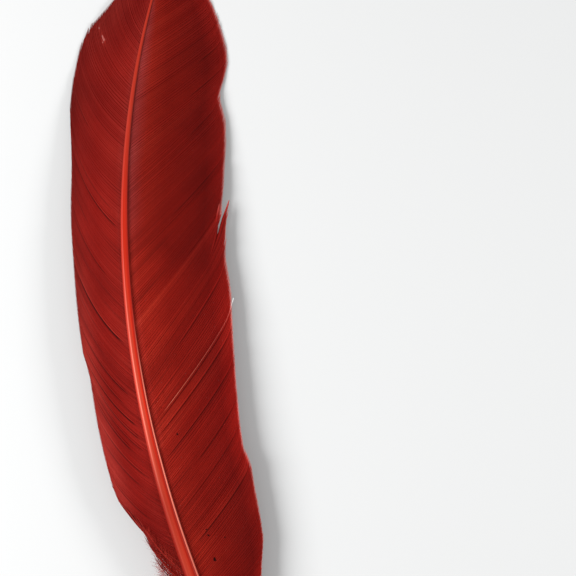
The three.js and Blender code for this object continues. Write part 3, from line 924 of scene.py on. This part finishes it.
def down_material():
    """Dyed down: paler and duller than the barbs, in lighter and darker clumps."""
    material, tree, shader = new_material("down, dyed red")
    light = arithmetic(tree, "ADD", product(tree, attribute(tree, "tone"), 0.3), 0.5)
    strand_colour = colour_ramp(tree, light, [(0.0, (0.26, 0.008, 0.005, 1)), (1.0, (0.5, 0.035, 0.022, 1))])
    clumps = noise(tree, tree.nodes.new("ShaderNodeTexCoord").outputs["Object"], *CLUMP_NOISE)
    shade = colour_ramp(tree, clumps, [(0.3, (0.75, 0.65, 0.65, 1)), (0.7, (1.2, 1.35, 1.35, 1))])
    tree.links.new(tinted(tree, strand_colour, shade), shader.inputs["Base Color"])
    set_finish(shader, {
        "Roughness": 0.8, "Specular IOR Level": 0.1, "Sheen Weight": 0.03, "Sheen Roughness": 0.5})
    return material


def make_down(side, tree, material):
    points, values = down_guides(side)
    name = f"{side}_down"
    guide = line_mesh(f"{name}_lines", points, values)
    return bake_piece(guide, tree, {
        "Barbule length": BARBULE_LENGTH * MM, "Barbule spacing": BARBULE_SPACING * MM,
        "Barbule radius": BARBULE_RADIUS * MM, "Seed": BARBULE_SEED[side], "Material": material}, name)


def make_vane(side, tree):
    points, values = vane_guides(side)
    name = f"{side}_vane"
    guide = line_mesh(f"{name}_lines", points, values)
    return bake_piece(guide, tree, {
        "Crest": BARB_CREST, "Keel": BARB_KEEL, "Material": barb_material(side)}, name)


def shaft_section(station):
    """Across and up of one ring of the shaft: a round quill, then squarer, lined above and grooved below."""
    half_width = along(SHAFT_SIZE, station, 1)
    half_depth = along(SHAFT_SIZE, station, 2)
    turn = RING_TURN * 2 * math.pi
    upper = np.sin(turn) > 0
    fullness = np.where(upper, np.where(np.cos(turn) > 0, *UPPER_FULLNESS), LOWER_FULLNESS)
    squareness = 2 + (fullness - 2) * smooth_step(station, *SQUARED_OVER)
    across = np.sign(np.cos(turn)) * np.abs(np.cos(turn)) ** (2 / squareness)
    up = np.sign(np.sin(turn)) * np.abs(np.sin(turn)) ** (2 / squareness)
    off_bottom = (turn - 1.5 * math.pi) / GROOVE_SPREAD
    up = up * (1 - GROOVE_DEPTH * smooth_step(station, *GROOVE_OVER) * np.exp(-off_bottom ** 2))
    lined = smooth_step(station, *LINES_RISE) * (1 - smooth_step(station, *LINES_FADE))
    for middle, spread, height in SHAFT_LINES:
        up = up + upper * lined * height * np.exp(-((across - middle) / spread) ** 2)
    return half_width * across, half_depth * up


def shaft_rings():
    """Stations of the shaft's rings and their points, from the bottom of the pore out and on to the tip."""
    stations = np.concatenate([
        QUILL_RINGS, np.arange(QUILL_RINGS[-1] + RING_PITCH, SHAFT_END, RING_PITCH),
        [SHAFT_END, SHAFT_END + POINT_RUN]])
    sizes = np.ones(len(stations))
    sizes[:len(PORE_RIM)] = PORE_RIM
    sizes[-1] = POINT_SIZE
    across, up = shaft_section(PORE_DEPTH)
    rings = [place(np.full(SHAFT_SIDES, PORE_DEPTH), across * PORE_SIZE, PORE_HEIGHT + up * PORE_SIZE)]
    for station, size in zip(stations, sizes):
        across, up = shaft_section(station)
        middle = along(ARCH, station, 1)
        # The quill's end is lowered to lie on the table.
        lowest = np.min(middle + up) if station <= QUILL_RINGS[-1] else 0
        rings.append(place(np.full(SHAFT_SIDES, station), across * size, middle + up * size - lowest))
    return np.concatenate([[PORE_DEPTH], stations]), rings


def ring_faces(count):
    """Faces between neighbouring rings, and one over each end."""
    spot = np.arange(SHAFT_SIDES)[None, :]
    first = (np.arange(count - 1) * SHAFT_SIDES)[:, None] + spot
    beside = first - spot + (spot + 1) % SHAFT_SIDES
    sides = np.stack([first, first + SHAFT_SIDES, beside + SHAFT_SIDES, beside], -1)
    faces = sides.reshape(-1, 4).tolist()
    faces.append(list(range(SHAFT_SIDES)))
    faces.append([count * SHAFT_SIDES - 1 - k for k in range(SHAFT_SIDES)])
    return faces


def shaft_dye_and_painted_light(tree, station, across, upper):
    """Colours across the shaft: fine near the tip, plain, with painted highlights on its upper face, and low
    near its base; all darker towards both flanks as painted shade.
    """
    # Each ramp darkens towards both flanks of the shaft as painted shade.
    fine = colour_ramp(tree, across, [
        (0.0, (0.18, 0.01, 0.007, 1)), (0.13, (0.38, 0.025, 0.012, 1)), (0.5, (0.41, 0.026, 0.011, 1)),
        (0.86, (0.34, 0.02, 0.009, 1)), (1.0, (0.18, 0.009, 0.006, 1))])
    plain = colour_ramp(tree, across, [
        (0.0, (0.2, 0.01, 0.007, 1)), (0.13, (0.5, 0.032, 0.016, 1)), (0.45, (0.49, 0.016, 0.003, 1)),
        (0.86, (0.43, 0.016, 0.006, 1)), (1.0, (0.2, 0.009, 0.006, 1))])
    low = colour_ramp(tree, across, [
        (0.0, (0.14, 0.005, 0.003, 1)), (0.13, (0.26, 0.012, 0.007, 1)), (0.3, (0.4, 0.034, 0.017, 1)),
        (0.5, (0.4, 0.028, 0.012, 1)), (0.68, (0.34, 0.011, 0.003, 1)), (0.8, (0.34, 0.014, 0.006, 1)),
        (1.0, (0.16, 0.006, 0.005, 1))])
    # Painted highlight: a broad pale band along the upper face's leading shoulder.
    painted_highlight = colour_ramp(tree, across, [
        (0.0, (0.18, 0.007, 0.005, 1)), (0.08, (0.42, 0.028, 0.017, 1)), (0.19, (0.58, 0.065, 0.042, 1)),
        (0.27, (0.85, 0.19, 0.13, 1)), (0.36, (0.56, 0.06, 0.034, 1)), (0.5, (0.48, 0.045, 0.02, 1)),
        (0.64, (0.56, 0.018, 0.004, 1)), (0.78, (0.46, 0.013, 0.004, 1)), (1.0, (0.16, 0.006, 0.005, 1))])
    # Painted highlight: a thin pale line along the trailing rim, with painted shade as a dark line on either
    # side.
    rim = colour_ramp(tree, across, [
        (0.8, (0.3, 0.008, 0.004, 1)), (0.83, (0.22, 0.006, 0.004, 1)), (0.87, (0.95, 0.22, 0.15, 1)),
        (0.935, (0.95, 0.26, 0.18, 1)), (0.97, (0.2, 0.008, 0.006, 1)), (1.0, (0.14, 0.006, 0.005, 1))])
    body = covered(tree, plain, fine, ramp_value(tree, station, 205, 255))
    body = covered(tree, body, painted_highlight, product(tree, ramp_value(tree, station, 215, 150), upper))
    body = covered(tree, body, low, ramp_value(tree, station, 148, 108))
    # The rim's painted highlight lies on the upper face only, fading towards the tip and the base.
    at_rim = product(tree, ramp_value(tree, across, 0.79, 0.81), upper)
    rim_highlight = product(tree, ramp_value(tree, station, 185, 140),
                       ramp_value(tree, station, 70, 125, 0.55, 1.0))
    body = covered(tree, body, rim, product(tree, at_rim, rim_highlight))
    body = covered(tree, body, (0.46, 0.05, 0.027, 1), ramp_value(tree, station, 78, 48))
    return covered(tree, body, (0.5, 0.13, 0.08, 1), ramp_value(tree, station, 14, 2))


def shaft_material():
    """Dyed horn of the shaft: clear orange red, satin, with painted highlights along its upper shoulder and
    rim, finely streaked.
    """
    material, tree, shader = new_material("shaft, dyed horn")
    station = attribute(tree, "station")
    across = arithmetic(tree, "ADD", product(tree, attribute(tree, "across"), 0.5), 0.5)
    body = shaft_dye_and_painted_light(tree, station, across, attribute(tree, "upper"))
    lines = tree.nodes.new("ShaderNodeCombineXYZ")
    tree.links.new(product(tree, attribute(tree, "around"), STREAKS_AROUND), lines.inputs["X"])
    tree.links.new(product(tree, station, STREAKS_ALONG), lines.inputs["Y"])
    grain = noise(tree, lines.outputs[0], 1.0, 3)
    streaks = colour_ramp(tree, grain, [(0.3, (0.86, 0.78, 0.76, 1)), (0.7, (1.1, 1.25, 1.25, 1))])
    tree.links.new(tinted(tree, body, streaks), shader.inputs["Base Color"])
    set_finish(shader, {
        "Roughness": 0.4, "Specular IOR Level": 0.12,
        "Subsurface Weight": 0.05, "Subsurface Radius": (0.002, 0.0006, 0.0004)})
    add_bump(tree, shader, grain, 0.08)
    return material


def make_shaft():
    """The whole shaft, with the small open pore at the quill end."""
    stations, rings = shaft_rings()
    mesh = bpy.data.meshes.new("shaft")
    mesh.from_pydata(np.concatenate(rings).tolist(), [], ring_faces(len(rings)))
    sections = [shaft_section(station) for station in stations]
    store_values(mesh, {
        "station": np.repeat(stations, SHAFT_SIDES),
        "around": np.tile(RING_TURN, len(stations)),
        "across": np.concatenate([across / np.max(across) for across, _ in sections]),
        "upper": np.concatenate([up > 0 for _, up in sections]),
    })
    for face in mesh.polygons:
        face.use_smooth = True
    mesh.materials.append(shaft_material())
    return add_object("shaft", mesh)


def make_floor():
    corners = [(x * FLOOR_HALF, y * FLOOR_HALF, 0) for x, y in ((-1, -1), (1, -1), (1, 1), (-1, 1))]
    mesh = bpy.data.meshes.new("floor")
    mesh.from_pydata(corners, [], [(0, 1, 2, 3)])
    material, _, shader = new_material("pale paper floor")
    set_finish(shader, {"Base Color": (0.685, 0.69, 0.69, 1), "Roughness": 0.9, "Specular IOR Level": 0.1})
    mesh.materials.append(material)
    floor = add_object("floor", mesh)


def make_light(name, spot, size, power):
    """A soft box that faces the feather."""
    lamp = bpy.data.lights.new(name, "AREA")
    lamp.shape = "RECTANGLE"
    lamp.size, lamp.size_y = size
    lamp.energy = power
    lit = add_object(name, lamp)
    lit.location = spot
    distance = math.sqrt(sum(v * v for v in spot))
    lit.rotation_euler = (math.acos(spot[2] / distance), 0, math.atan2(spot[1], spot[0]) + math.pi / 2)
    lit.visible_camera = False


def make_lights():
    for soft_box in SOFT_BOXES:
        make_light(*soft_box)
    world = bpy.data.worlds.new("studio")
    world.use_nodes = True
    set_finish(world.node_tree.nodes["Background"], {"Color": (1, 1, 1, 1), "Strength": STUDIO_LIGHT})
    bpy.context.scene.world = world
    bpy.context.scene.view_settings.view_transform = "Standard"


def make_camera():
    """The camera stands straight above, as far off as its lens needs to take in the photograph's width."""
    data = bpy.data.cameras.new("camera")
    data.lens = VIEW_LENS
    data.sensor_width = VIEW_SENSOR
    data.clip_end = CLIP_END
    camera = add_object("camera", data)
    height = VIEW_LEVEL + VIEW_WIDTH * VIEW_LENS / VIEW_SENSOR
    camera.location = (VIEW_CENTRE[0] * MM, VIEW_CENTRE[1] * MM, height)
    camera.rotation_euler = (0, 0, math.radians(VIEW_TURN))
    bpy.context.scene.camera = camera


def dress(piece):
    """Every piece rides with the feather, stands for its solid and takes its finish from a slot."""
    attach(piece, "root")
    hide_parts("feather")


make_camera()
make_lights()
make_floor()
barb_tree = vane_tree()
dress(make_shaft())
for side in (LEADING, TRAILING):
    dress(make_vane(side, barb_tree))
strand_tree = down_tree()
red_down = down_material()
for side in (LEADING, TRAILING):
    dress(make_down(side, strand_tree, red_down))
